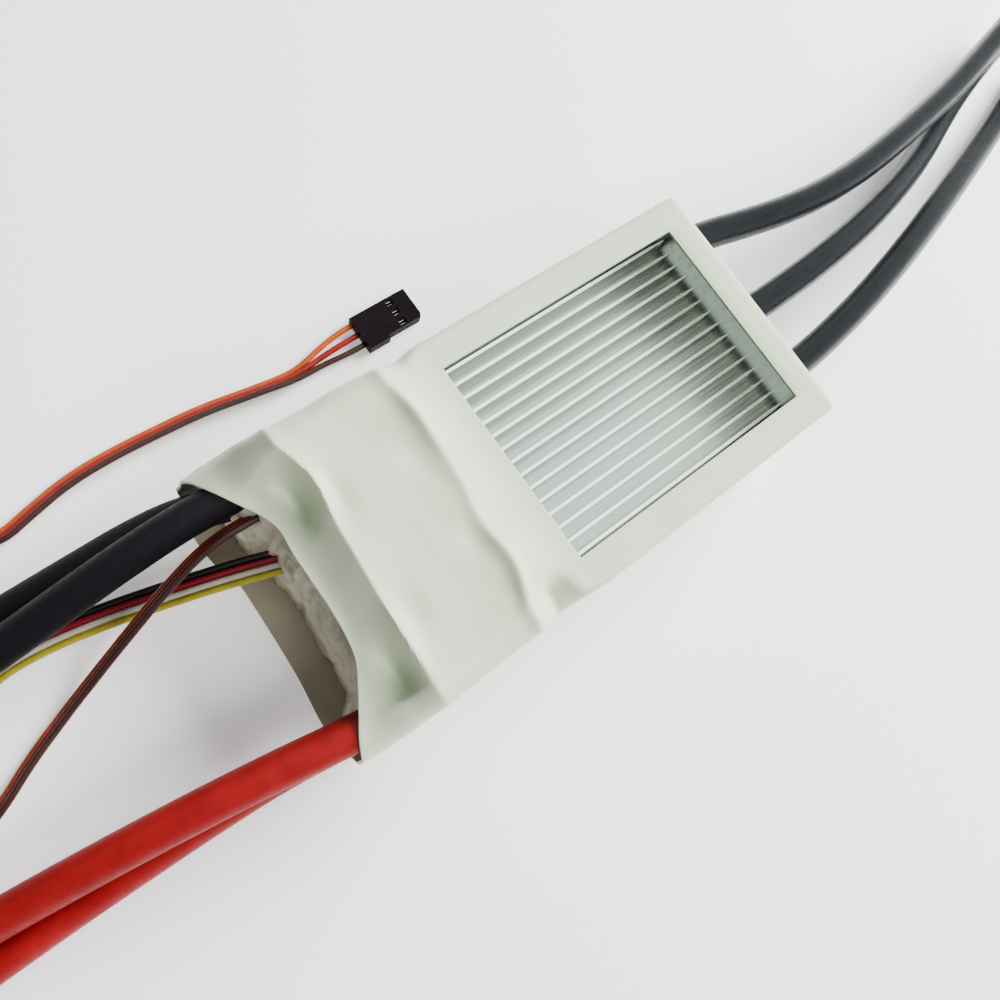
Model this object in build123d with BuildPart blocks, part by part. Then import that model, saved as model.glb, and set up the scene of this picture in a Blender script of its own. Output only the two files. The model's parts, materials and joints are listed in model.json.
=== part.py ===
"""Electronic speed controller for a large brushless motor, in a heat-shrink sleeve.

+X points to the motor wires, +Z up. The origin is under the middle of the sleeve, on the
surface that the controller lies on.
"""

import os
from math import pi, radians, tan

from build123d import *

os.makedirs("parts", exist_ok=True)

# Sleeve
WALL = 0.7
HALF_WIDTH = 28.0
MOTOR_END = 58.5
MOUTH_END = -58.5
DECK_TOP = 25.0  # over the heatsink
BULGE_TOP = 28.0  # over the capacitors
BULGE_START = -16.5
BULGE_RISE = 8.0  # length of the slope up to it
BULGE_STOP = -41.5
LIP_X = -51.5  # top sheet's edge at the mouth
LIP_Z = 22.0
MOUTH_CORNER_X = -57.0
MOUTH_CORNER_Z = 12.0
FLARE_START = -44.0
FLARE_Y = 31.8  # the mouth opens wider beside the black wires
EDGE_ROUND = 2.2
END_CURL = 2.4  # how far the sleeve curls in over the motor end

# Window in the sleeve, over the fins
WINDOW_X = 22.4
WINDOW_LENGTH = 58.4
WINDOW_WIDTH = 43.0

# Heatsink
SINK_START = -8.2
SINK_STOP = 57.6
SINK_HALF_WIDTH = 27.1
SINK_BASE_Z = 17.7
SINK_FLOOR_Z = 20.1
SINK_TOP_Z = 24.2
CHANNEL_HALF_WIDTH = 22.6
CHANNEL_STOP = 53.0
FIN_COUNT = 15
FIN_PITCH = 2.96
FIN_THICK = 0.6
FIN_TAPER_START = 45.5
FIN_TIP = 50.0

# Boards
BOARD_THICK = 1.6
POWER_BOARD_Z = 14.2
POWER_BOARD_START = -9.0
POWER_BOARD_STOP = 47.0
POWER_BOARD_WIDTH = 53.0
CONTROL_BOARD_Z = 5.6
CONTROL_BOARD_START = -6.0
CONTROL_BOARD_STOP = 40.0
CONTROL_BOARD_WIDTH = 44.0
TRANSISTORS_X = 18.0
TRANSISTOR_LENGTH = 6.0
TRANSISTOR_WIDTH = 5.0
TRANSISTOR_HEIGHT = 1.1
TRANSISTOR_PITCH_X = 7.6
TRANSISTOR_PITCH_Y = 7.4
PAD_LENGTH = 32.0
PAD_WIDTH = 50.0
FOAM_LENGTH = 50.0
FOAM_WIDTH = 46.0
MICRO_AT = (24.0, 6.0)
MICRO_SIZE = 7.0
MICRO_THICK = 1.0
DRIVER_X = 10.0
DRIVER_Y = (-12.0, 0.0, 12.0)
DRIVER_LENGTH = 4.0
DRIVER_WIDTH = 5.0
DRIVER_THICK = 1.2
INDUCTOR_AT = (24.0, -8.0)
INDUCTOR_SIZE = 6.0
INDUCTOR_HEIGHT = 3.0
HEADER_X = 4.0
HEADER_Y = (10.0, -10.0)
HEADER_BASE = 2.5
PIN_SIZE = 0.64
PHASE_BAR_LENGTH = 34.0
PHASE_BAR_WIDTH = 4.4
PHASE_BAR_THICK = 1.6
PHASE_BAR_X = 25.0
PHASE_BAR_Y = {"a": 13.5, "b": -0.5, "c": -13.0}
SHEET_Z = 0.7
SHEET_THICK = 0.5
SHEET_START = -9.0
SHEET_STOP = 56.5
SCREW_X = (0.0, 36.0)
SCREW_Y = (-19.0, 19.0)
SCREW_RADIUS = 1.2
SCREW_HEAD_RADIUS = 2.3
SCREW_HEAD_THICK = 1.3
SCREW_SOCKET_RADIUS = 0.9
SCREW_SOCKET_DEPTH = 0.8
SCREW_TOP_Z = 19.6

# Capacitors, two layers of three, lying along X
CAN_RADIUS = 6.25
CAN_END = -39.5
CAN_SEAL_END = -16.6
CAN_LAYERS = (7.3, 19.95)
CAN_COLUMNS = (-12.6, 0.0, 12.6)
CAN_LEAD_PITCH = 5.0
CAN_LEAD_RADIUS = 0.4
CAN_LEAD_LENGTH = 2.8
CRIMP_FROM_END = 3.0
CRIMP_DEPTH = 0.6
CAP_BOARD_START = -16.0
CAP_BOARD_Z = 1.3
CAP_BOARD_HEIGHT = 23.6
LEAD_SLOTS = ((18.9, 12.6), (6.1, 12.6))  # where the signal leads pass, in Y and Z
LEAD_SLOT_WIDTH = 3.6
LEAD_SLOT_HEIGHT = 6.0
BUS_BAR_Y = 20.4
BUS_BAR_THICK = 1.3
BUS_BAR_START = -40.0
BUS_BAR_Z = 7.0
BUS_BAR_HEIGHT = 14.0

# Silicone end seal
SEAL_START = -42.0
SEAL_HALF_WIDTH = 27.1
SEAL_BOTTOM = 0.8
SEAL_TOP = 26.0
SEAL_SHOULDER = (-50.8, 20.8)  # X and Z down its outer face
SEAL_MIDDLE = (-52.4, 12.0)
SEAL_FOOT_X = -53.0

# Wires
POWER_WIRE = 6.7  # outer diameter
CONDUCTOR = 3.9
TIP_LENGTH = 8.0
STUB_LENGTH = 5.0
SERVO_TUBE = 2.4  # three 1.25 mm conductors, side by side or on edge
DATA_TUBE = 2.6  # four 1.3 mm conductors

# Plugs, 2.54 mm pitch
PIN_PITCH = 2.54
PLUG_LENGTH = 14.0
PLUG_HEIGHT = 2.6
PLUG_HOLE = 1.46
PLUG_STEP_LENGTH = 5.2
PLUG_STEP_DEPTH = 0.7
PLUG_CORNER = 0.9
PLUG_BACK_WALL = 2.0
PLUG_WINDOW_X = 9.5
PLUG_WINDOW_LENGTH = 1.7
PLUG_WINDOW_WIDTH = 1.3
CONTACT_X = 7.7
CONTACT_LENGTH = 10.6
CONTACT_WIDTH = 1.0
CONTACT_THICK = 0.9
CONTACT_BORE_LENGTH = 9.0
CONTACT_BORE_WIDTH = 0.6
SERVO_PLUG_X = -8.9
SERVO_PLUG_Y = 43.7
DATA_PLUG_X = -137.0
DATA_PLUG_Y = 10.6

# Cord routes, from the end inside the controller to the free end.
MOTOR_ROUTES = {
    "a": [
        (48, 20.6, 14),
        (57, 20.6, 14),
        (67, 19.5, 14),
        (77, 17.1, 14),
        (88.5, 14.7, 13.9),
        (101.5, 13.2, 13.5),
        (116, 13.1, 13),
        (131, 14.4, 12.5),
        (147, 16.3, 11.7),
        (163.5, 18.6, 11),
        (181, 22.2, 10.5),
        (197, 25.6, 10.3),
    ],
    "b": [
        (48, -0.5, 14),
        (57, -0.5, 14),
        (67, -0.6, 14),
        (78, -0.5, 13.8),
        (91, 0.1, 13),
        (106, 1.4, 11.5),
        (121, 3.7, 9.4),
        (135, 6.5, 7.1),
        (148, 10, 5.1),
        (160, 14, 3.8),
        (172, 18, 3.4),
        (185, 21.5, 3.4),
        (198, 24.3, 3.4),
    ],
    "c": [
        (48, -16.4, 14),
        (57, -16.4, 14),
        (67, -16.2, 14),
        (77, -15.4, 14),
        (90, -13.8, 13.6),
        (104, -11.4, 12.8),
        (119, -8.4, 11.4),
        (134, -5.1, 9.5),
        (148, -2, 7.6),
        (162, 1.3, 5.6),
        (176, 4.9, 4),
        (188, 8.4, 3.4),
        (199, 12, 3.4),
    ],
}
NEGATIVE_ROUTES = {
    "1": [
        (-42, 23.7, 10.5),
        (-49.5, 23.7, 10.5),
        (-58, 27.2, 10.4),
        (-67, 28.5, 9.9),
        (-78, 28.8, 8.9),
        (-91, 29.3, 7.1),
        (-105, 29.7, 5.1),
        (-119, 29.8, 3.8),
        (-134, 29.4, 3.4),
        (-148, 28.4, 3.4),
    ],
    "2": [
        (-42, 23.7, 17.5),
        (-50, 23.7, 17.5),
        (-59, 24.3, 17.4),
        (-70, 24.2, 16.3),
        (-82, 23.8, 14.4),
        (-96, 23.3, 11.6),
        (-110, 22.8, 8.6),
        (-124, 22.2, 5.8),
        (-137, 21.6, 4),
        (-149, 21, 3.4),
    ],
}
POSITIVE_ROUTES = {
    "1": [
        (-42, -23.7, 17.5),
        (-50, -23.7, 17.5),
        (-59, -22.1, 17.4),
        (-69.5, -19.9, 17),
        (-83, -17.5, 15.5),
        (-98, -15.2, 12.7),
        (-113, -13.2, 9.6),
        (-128, -11.6, 6.7),
        (-142, -10.5, 4.3),
        (-154, -9.8, 3.4),
    ],
    "2": [
        (-42, -23.7, 10.5),
        (-50, -23.7, 10.5),
        (-58.5, -22.7, 10.4),
        (-68, -20.9, 9.9),
        (-81, -19.8, 8.4),
        (-95, -19.1, 6.4),
        (-109, -18.5, 4.7),
        (-123, -18.2, 3.7),
        (-137, -17.9, 3.4),
        (-151, -17.3, 3.4),
    ],
}
SERVO_ROUTE = [
    (-41.5, 18.34, 15.38),
    (-51, 18.7, 16.8),
    (-59, 18.8, 15.2),
    (-68, 17.1, 11.8),
    (-77, 14.8, 8),
    (-86, 12.3, 4.4),
    (-94.5, 9.6, 2),
    (-102.5, 6.2, 1.3),
    (-110, 2.1, 1.3),
    (-118, -0.6, 1.6),
    (-125.5, 1.2, 3.6),
    (-130, 7.5, 7.4),
    (-132.2, 16, 12.4),
    (-132, 25.5, 13),
    (-130.2, 35.5, 10.4),
    (-125.5, 43.5, 5.2),
    (-117, 48.5, 2),
    (-107.5, 49.4, 1.3),
    (-97.5, 47.3, 1.3),
    (-88, 43.2, 1.3),
    (-80.5, 45.1, 1.3),
    (-72.5, 46.8, 1.3),
    (-63.5, 47.1, 1.3),
    (-54, 46.6, 1.3),
    (-44.5, 45.9, 1.3),
    (-34.5, 44.1, 1.3),
    (-25, 42.6, 1.3),
    (-16.5, SERVO_PLUG_Y, 1.3),
    (SERVO_PLUG_X, SERVO_PLUG_Y, 1.3),
]
DATA_ROUTE = [
    (-41.5, 7.2, 12),
    (-52, 11.6, 9),
    (-61, 14.8, 7.4),
    (-71, 18, 5.1),
    (-80.5, 20.9, 2.8),
    (-90, 23, 1.5),
    (-98.5, 23.6, 1.3),
    (-107, 21.9, 1.3),
    (-115, 18, 1.3),
    (-122, 13.8, 1.3),
    (-129.5, DATA_PLUG_Y, 1.3),
    (DATA_PLUG_X, DATA_PLUG_Y, 1.3),
]
# The hidden lengths of the two signal leads, from the control board to the end seal.
SERVO_INNER_ROUTE = [
    (-3, 17, 8.4),
    (-8, 17.8, 10.2),
    (-14, 18.7, 13.2),
    (-20, 18.8, 13.9),
    (-29, 18.6, 14.2),
    (-37, 18.17, 14.71),
    (-41.4, 18.34, 15.37),
]
DATA_INNER_ROUTE = [
    (-3, 4.6, 8.5),
    (-8, 5.3, 10.2),
    (-14, 6.2, 13.2),
    (-20, 6.3, 13.8),
    (-30, 6.1, 13.6),
    (-38, 5.73, 13),
    (-41.4, 7.16, 12.03),
]


def finish(part, name):
    """Labels a finished piece and writes its file."""
    part.label = name
    export_step(part, f"parts/{name}.step")


def corner_radii(points):
    """The largest arc that each inner corner of a route has room for."""
    corners = [Vector(*p) for p in points]
    radii = []
    for before, here, after in zip(corners, corners[1:], corners[2:]):
        into, out = here - before, after - here
        turn = max(into.get_angle(out), 0.05)
        radii.append(0.45 * min(into.length, out.length) / tan(radians(turn) / 2))
    return radii


def cord(name, points, diameter):
    """A plain tube along a route; gives back the planes at its two ends, facing outward."""
    radii = corner_radii(points)
    with BuildPart() as tube:
        with BuildLine() as route:
            FilletPolyline(*points, radius=radii)
        path = route.wire()
        with BuildSketch(Plane(origin=path @ 0, z_dir=path % 0)):
            Circle(diameter / 2)
        sweep(path=path)
    expected = pi / 4 * diameter**2 * path.length
    print(
        f"{name}: {path.length:.1f} mm, tightest radius {min(radii):.1f} mm,",
        f"volume {tube.part.volume / expected:.4f} of section x length",
    )
    finish(tube.part, name)
    start = Plane(origin=path @ 0, z_dir=-(path % 0))
    end = Plane(origin=path @ 1, z_dir=path % 1)
    return tube.part, start, end


def sleeve_profile(inset, mouth_x):
    """Side view of the sleeve, drawn at y = 0; the inner one runs out past the mouth."""
    slope = (BULGE_TOP - LIP_Z) / (BULGE_STOP - LIP_X)
    points = [
        (MOTOR_END - inset, inset),
        (MOTOR_END - inset, DECK_TOP - inset),
        (BULGE_START + BULGE_RISE, DECK_TOP - inset),
        (BULGE_START, BULGE_TOP - inset),
        (BULGE_STOP, BULGE_TOP - inset),
    ]
    if inset:
        roof = BULGE_TOP - inset - slope * (BULGE_STOP - LIP_X + 3)
        points += [(LIP_X - 3, roof), (mouth_x, roof), (mouth_x, inset)]
    else:
        points += [(LIP_X, LIP_Z), (MOUTH_CORNER_X, MOUTH_CORNER_Z), (mouth_x, 0)]
    return points


def sleeve_plan(inset, mouth_x):
    """Top view of the sleeve, with the flare beside the black wires."""
    return [
        (MOTOR_END + 1, -HALF_WIDTH + inset),
        (MOTOR_END + 1, HALF_WIDTH - inset),
        (FLARE_START, HALF_WIDTH - inset),
        (MOUTH_CORNER_X, FLARE_Y - inset),
        (mouth_x, FLARE_Y - inset),
        (mouth_x, -HALF_WIDTH + inset),
    ]


# Heat-shrink sleeve: a flat tube, open at the battery end, with a window over the fins.
with BuildPart() as cavity:
    with BuildSketch(Plane.XZ.offset(-FLARE_Y - 1)):
        Polygon(*sleeve_profile(WALL, MOUTH_END - 6), align=None)
    extrude(amount=2 * FLARE_Y + 2)
    with BuildSketch(Plane.XY.offset(-1)):
        Polygon(*sleeve_plan(WALL, MOUTH_END - 6), align=None)
    extrude(amount=BULGE_TOP + 2, mode=Mode.INTERSECT)

with BuildPart() as sleeve:
    with BuildSketch(Plane.XZ.offset(-FLARE_Y - 1)):
        Polygon(*sleeve_profile(0, MOUTH_END), align=None)
    extrude(amount=2 * FLARE_Y + 2)
    with BuildSketch(Plane.XY.offset(-1)):
        Polygon(*sleeve_plan(0, MOUTH_END), align=None)
    extrude(amount=BULGE_TOP + 2, mode=Mode.INTERSECT)
    long_edges = sleeve.edges().filter_by(Axis.X)
    fillet(long_edges.filter_by_position(Axis.Z, DECK_TOP - 1, DECK_TOP + 1), EDGE_ROUND)
    add(cavity.part, mode=Mode.SUBTRACT)
    with BuildSketch(Plane.XY.offset(SINK_FLOOR_Z)):
        with Locations((WINDOW_X, 0)):
            RectangleRounded(WINDOW_LENGTH, WINDOW_WIDTH, 0.6)
    extrude(amount=DECK_TOP, mode=Mode.SUBTRACT)
    with BuildSketch(Plane.YZ.offset(MOTOR_END - 2 * WALL)):
        with Locations((0, DECK_TOP / 2)):
            RectangleRounded(2 * (HALF_WIDTH - END_CURL), DECK_TOP - 2 * END_CURL, 1.5)
    extrude(amount=4 * WALL, mode=Mode.SUBTRACT)
finish(sleeve.part, "heat_shrink_sleeve")

# Heatsink: a base with a milled field of fins that taper to points at the motor end.
FIN_LEFT = -FIN_PITCH * (FIN_COUNT - 1) / 2
with BuildPart() as heatsink:
    with BuildSketch(Plane.XY.offset(SINK_BASE_Z)):
        with Locations(((SINK_START + SINK_STOP) / 2, 0)):
            Rectangle(SINK_STOP - SINK_START, 2 * SINK_HALF_WIDTH)
    extrude(amount=SINK_TOP_Z - SINK_BASE_Z)
    with BuildSketch(Plane.XY.offset(SINK_FLOOR_Z)):
        with Locations(((SINK_START - 1 + CHANNEL_STOP) / 2, 0)):
            Rectangle(CHANNEL_STOP - SINK_START + 1, 2 * CHANNEL_HALF_WIDTH)
        for number in range(FIN_COUNT):
            y = FIN_LEFT + number * FIN_PITCH
            Polygon(
                (SINK_START - 1, y - FIN_THICK / 2),
                (FIN_TAPER_START, y - FIN_THICK / 2),
                (FIN_TIP, y),
                (FIN_TAPER_START, y + FIN_THICK / 2),
                (SINK_START - 1, y + FIN_THICK / 2),
                align=None,
                mode=Mode.SUBTRACT,
            )
    extrude(amount=SINK_TOP_Z, mode=Mode.SUBTRACT)
    with BuildSketch(Plane.XY.offset(SINK_BASE_Z)):
        with Locations(*[(x, y) for x in SCREW_X for y in SCREW_Y]):
            Circle(SCREW_RADIUS)
    extrude(amount=SCREW_TOP_Z - SINK_BASE_Z, mode=Mode.SUBTRACT)
finish(heatsink.part, "heatsink")

# Thermal pad between the transistors and the heatsink.
PAD_Z = POWER_BOARD_Z + BOARD_THICK + TRANSISTOR_HEIGHT
with BuildPart() as thermal_pad:
    with BuildSketch(Plane.XY.offset(PAD_Z)):
        with Locations((TRANSISTORS_X, 0)):
            Rectangle(PAD_LENGTH, PAD_WIDTH)
    extrude(amount=SINK_BASE_Z - PAD_Z)
finish(thermal_pad.part, "thermal_pad")

# Power transistors: three phases of eight, in four rows of six on the power board.
with BuildPart() as transistors:
    with BuildSketch(Plane.XY.offset(POWER_BOARD_Z + BOARD_THICK)):
        with Locations((TRANSISTORS_X, 0)):
            with GridLocations(TRANSISTOR_PITCH_X, TRANSISTOR_PITCH_Y, 4, 6):
                Rectangle(TRANSISTOR_LENGTH, TRANSISTOR_WIDTH)
    extrude(amount=TRANSISTOR_HEIGHT)
finish(transistors.part, "power_transistors")

# Power board, with edge slots where the motor wires' conductors are soldered.
PHASE_Y = [route[0][1] for route in MOTOR_ROUTES.values()]
SLOT_LENGTH = STUB_LENGTH - 1
with BuildPart() as power_board:
    with BuildSketch(Plane.XY.offset(POWER_BOARD_Z)):
        with Locations(((POWER_BOARD_START + POWER_BOARD_STOP) / 2, 0)):
            Rectangle(POWER_BOARD_STOP - POWER_BOARD_START, POWER_BOARD_WIDTH)
        for y in PHASE_Y:
            with Locations((POWER_BOARD_STOP - SLOT_LENGTH / 2, y)):
                Rectangle(SLOT_LENGTH, CONDUCTOR + 0.3, mode=Mode.SUBTRACT)
        with Locations(*[(x, y) for x in SCREW_X for y in SCREW_Y]):
            Circle(SCREW_RADIUS + 0.1, mode=Mode.SUBTRACT)
    extrude(amount=BOARD_THICK)
finish(power_board.part, "power_board")

# Copper phase bars under the power board, from the transistors to the motor wires.
for key, y in PHASE_BAR_Y.items():
    with BuildPart() as phase_bar:
        with BuildSketch(Plane.XY.offset(POWER_BOARD_Z - PHASE_BAR_THICK)):
            with Locations((PHASE_BAR_X, y)):
                RectangleRounded(PHASE_BAR_LENGTH, PHASE_BAR_WIDTH, 1.0)
        extrude(amount=PHASE_BAR_THICK)
    finish(phase_bar.part, f"phase_bar_{key}")

# Control board and what is soldered to it.
with BuildPart() as control_board:
    with BuildSketch(Plane.XY.offset(CONTROL_BOARD_Z)):
        with Locations(((CONTROL_BOARD_START + CONTROL_BOARD_STOP) / 2, 0)):
            RectangleRounded(CONTROL_BOARD_STOP - CONTROL_BOARD_START, CONTROL_BOARD_WIDTH, 1.0)
        with Locations(*[(x, y) for x in SCREW_X for y in SCREW_Y]):
            Circle(SCREW_RADIUS + 0.1, mode=Mode.SUBTRACT)
    extrude(amount=BOARD_THICK)
finish(control_board.part, "control_board")

CONTROL_TOP_Z = CONTROL_BOARD_Z + BOARD_THICK
with BuildPart() as microcontroller:
    with BuildSketch(Plane.XY.offset(CONTROL_TOP_Z)):
        with Locations(MICRO_AT):
            Rectangle(MICRO_SIZE, MICRO_SIZE)
    extrude(amount=MICRO_THICK)
    chamfer(microcontroller.edges().group_by(Axis.Z)[-1], 0.15)
finish(microcontroller.part, "microcontroller")

with BuildPart() as gate_drivers:
    with BuildSketch(Plane.XY.offset(CONTROL_TOP_Z)):
        with Locations(*[(DRIVER_X, y) for y in DRIVER_Y]):
            Rectangle(DRIVER_LENGTH, DRIVER_WIDTH)
    extrude(amount=DRIVER_THICK)
finish(gate_drivers.part, "gate_drivers")

with BuildPart() as regulator:
    with BuildSketch(Plane.XY.offset(CONTROL_TOP_Z)):
        with Locations(INDUCTOR_AT):
            RectangleRounded(INDUCTOR_SIZE, INDUCTOR_SIZE, 0.8)
    extrude(amount=INDUCTOR_HEIGHT)
    chamfer(regulator.edges().group_by(Axis.Z)[-1], 0.3)
finish(regulator.part, "regulator_inductor")

# Pin headers that carry the gate signals between the two boards.
with BuildPart() as pin_headers:
    with BuildSketch(Plane.XY.offset(CONTROL_TOP_Z)):
        with Locations(*[(HEADER_X, y) for y in HEADER_Y]):
            Rectangle(PIN_PITCH, 4 * PIN_PITCH)
    extrude(amount=HEADER_BASE)
    with BuildSketch(Plane.XY.offset(CONTROL_TOP_Z + HEADER_BASE)):
        with Locations(*[(HEADER_X, y) for y in HEADER_Y]):
            with GridLocations(PIN_PITCH, PIN_PITCH, 1, 4):
                Rectangle(PIN_SIZE, PIN_SIZE)
    extrude(amount=POWER_BOARD_Z - CONTROL_TOP_Z - HEADER_BASE)
finish(pin_headers.part, "board_pin_headers")

# Spacers and the screws that clamp both boards to the heatsink.
with BuildPart() as spacers:
    with BuildSketch(Plane.XY.offset(CONTROL_TOP_Z)):
        with Locations(*[(x, y) for x in SCREW_X for y in SCREW_Y]):
            RegularPolygon(SCREW_HEAD_RADIUS, 6)
            Circle(SCREW_RADIUS + 0.1, mode=Mode.SUBTRACT)
    extrude(amount=POWER_BOARD_Z - CONTROL_TOP_Z)
finish(spacers.part, "board_spacers")

with BuildPart() as screws:
    with BuildSketch(Plane.XY.offset(CONTROL_BOARD_Z - SCREW_HEAD_THICK)):
        with Locations(*[(x, y) for x in SCREW_X for y in SCREW_Y]):
            Circle(SCREW_HEAD_RADIUS)
    extrude(amount=SCREW_HEAD_THICK)
    with BuildSketch(Plane.XY.offset(CONTROL_BOARD_Z)):
        with Locations(*[(x, y) for x in SCREW_X for y in SCREW_Y]):
            Circle(SCREW_RADIUS)
    extrude(amount=SCREW_TOP_Z - CONTROL_BOARD_Z - 0.3)
    with BuildSketch(Plane.XY.offset(CONTROL_BOARD_Z - SCREW_HEAD_THICK)):
        with Locations(*[(x, y) for x in SCREW_X for y in SCREW_Y]):
            RegularPolygon(SCREW_SOCKET_RADIUS, 6)
    extrude(amount=SCREW_SOCKET_DEPTH, mode=Mode.SUBTRACT)
finish(screws.part, "heatsink_screws")

# Insulation sheet on the sleeve's floor, and the foam that fills up to the boards.
with BuildPart() as insulation:
    with BuildSketch(Plane.XY.offset(SHEET_Z)):
        with Locations(((SHEET_START + SHEET_STOP) / 2, 0)):
            Rectangle(SHEET_STOP - SHEET_START, 2 * SINK_HALF_WIDTH)
    extrude(amount=SHEET_THICK)
finish(insulation.part, "insulation_sheet")

FOAM_Z = SHEET_Z + SHEET_THICK
with BuildPart() as foam:
    with BuildSketch(Plane.XY.offset(FOAM_Z)):
        with Locations((TRANSISTORS_X, 0)):
            Rectangle(FOAM_LENGTH, FOAM_WIDTH)
    extrude(amount=CONTROL_BOARD_Z - SCREW_HEAD_THICK - FOAM_Z)
finish(foam.part, "foam_pad")

# Capacitors: crimped cans with a rubber end and two leads each.
CRIMP_X = CAN_SEAL_END - CRIMP_FROM_END
number = 0
for z in CAN_LAYERS:
    for y in CAN_COLUMNS:
        number += 1
        with BuildPart() as capacitor:
            with BuildSketch(Plane.XZ.offset(-y)):
                with BuildLine():
                    Polyline(
                        (CAN_END, z),
                        (CAN_END, z + CAN_RADIUS - 0.6),
                        (CAN_END + 0.6, z + CAN_RADIUS),
                        (CRIMP_X - 0.8, z + CAN_RADIUS),
                        (CRIMP_X, z + CAN_RADIUS - CRIMP_DEPTH),
                        (CRIMP_X + 0.8, z + CAN_RADIUS),
                        (CAN_SEAL_END - 0.5, z + CAN_RADIUS),
                        (CAN_SEAL_END, z + CAN_RADIUS - 0.5),
                        (CAN_SEAL_END, z),
                        close=True,
                    )
                make_face()
            revolve(axis=Axis((0, y, z), (1, 0, 0)))
            with BuildSketch(Plane.YZ.offset(CAN_SEAL_END)):
                with Locations((y - CAN_LEAD_PITCH / 2, z), (y + CAN_LEAD_PITCH / 2, z)):
                    Circle(CAN_LEAD_RADIUS)
            extrude(amount=CAN_LEAD_LENGTH)
        finish(capacitor.part, f"capacitor_{number}")

# Capacitor board across their leads, between the two bus bars.
with BuildPart() as capacitor_board:
    with BuildSketch(Plane.YZ.offset(CAP_BOARD_START)):
        with Locations((0, CAP_BOARD_Z + CAP_BOARD_HEIGHT / 2)):
            Rectangle(2 * BUS_BAR_Y, CAP_BOARD_HEIGHT)
        with Locations(*[(y, z) for y in CAN_COLUMNS for z in CAN_LAYERS]):
            with GridLocations(CAN_LEAD_PITCH, 1, 2, 1):
                Circle(CAN_LEAD_RADIUS + 0.1, mode=Mode.SUBTRACT)
        with Locations(*LEAD_SLOTS):
            Rectangle(LEAD_SLOT_WIDTH, LEAD_SLOT_HEIGHT, mode=Mode.SUBTRACT)
    extrude(amount=BOARD_THICK)
finish(capacitor_board.part, "capacitor_board")

# Copper bus bars, from the capacitor board's edges out to the battery wires.
for name, side in (("negative_bus_bar", 1), ("positive_bus_bar", -1)):
    with BuildPart() as bus_bar:
        bar_x = (POWER_BOARD_START + BUS_BAR_START) / 2
        with BuildSketch(Plane.XY.offset(BUS_BAR_Z)):
            with Locations((bar_x, side * (BUS_BAR_Y + BUS_BAR_THICK / 2))):
                Rectangle(POWER_BOARD_START - BUS_BAR_START, BUS_BAR_THICK)
        extrude(amount=BUS_BAR_HEIGHT)
    finish(bus_bar.part, name)

# Power wires: silicone insulation, a tinned free end, and a bare end soldered inside.
stubs = []
seal_tools = []
for family, routes in (
    ("motor_wire", MOTOR_ROUTES),
    ("battery_negative_wire", NEGATIVE_ROUTES),
    ("battery_positive_wire", POSITIVE_ROUTES),
):
    for key, points in routes.items():
        tube, start, end = cord(f"{family}_{key}", points, POWER_WIRE)
        seal_tools.append(tube)
        with BuildPart() as tip:
            with BuildSketch(end):
                Circle(CONDUCTOR / 2)
            extrude(amount=TIP_LENGTH)
            fillet(tip.edges().sort_by(lambda e: (e.center() - end.origin).length)[-1], 0.8)
        finish(tip.part, f"{family}_{key}_tip")
        stubs.append(start)

with BuildPart() as wire_stubs:
    for start in stubs:
        with BuildSketch(start):
            Circle(CONDUCTOR / 2)
        extrude(amount=STUB_LENGTH)
finish(wire_stubs.part, "soldered_wire_ends")

# Signal leads: the outer lengths, and the hidden lengths that run between the capacitors.
servo_lead, servo_start, servo_end = cord("servo_lead", SERVO_ROUTE, SERVO_TUBE)
data_lead, data_start, data_end = cord("data_lead", DATA_ROUTE, DATA_TUBE)
seal_tools += [servo_lead, data_lead]
servo_inner, _, _ = cord("servo_lead_inner", SERVO_INNER_ROUTE, SERVO_TUBE)
data_inner, _, _ = cord("data_lead_inner", DATA_INNER_ROUTE, DATA_TUBE)
seal_tools += [servo_inner, data_inner]

# End seal of white silicone around the wires, just inside the sleeve's mouth.
with BuildPart() as end_seal:
    with BuildSketch(Plane.XZ.offset(-SEAL_HALF_WIDTH)):
        Polygon(
            (SEAL_START, SEAL_BOTTOM),
            (SEAL_START, SEAL_TOP),
            SEAL_SHOULDER,
            SEAL_MIDDLE,
            (SEAL_FOOT_X, SEAL_BOTTOM),
            align=None,
        )
    extrude(amount=2 * SEAL_HALF_WIDTH)
    for tool in seal_tools:
        add(tool, mode=Mode.SUBTRACT)
finish(end_seal.part, "end_seal")


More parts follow.
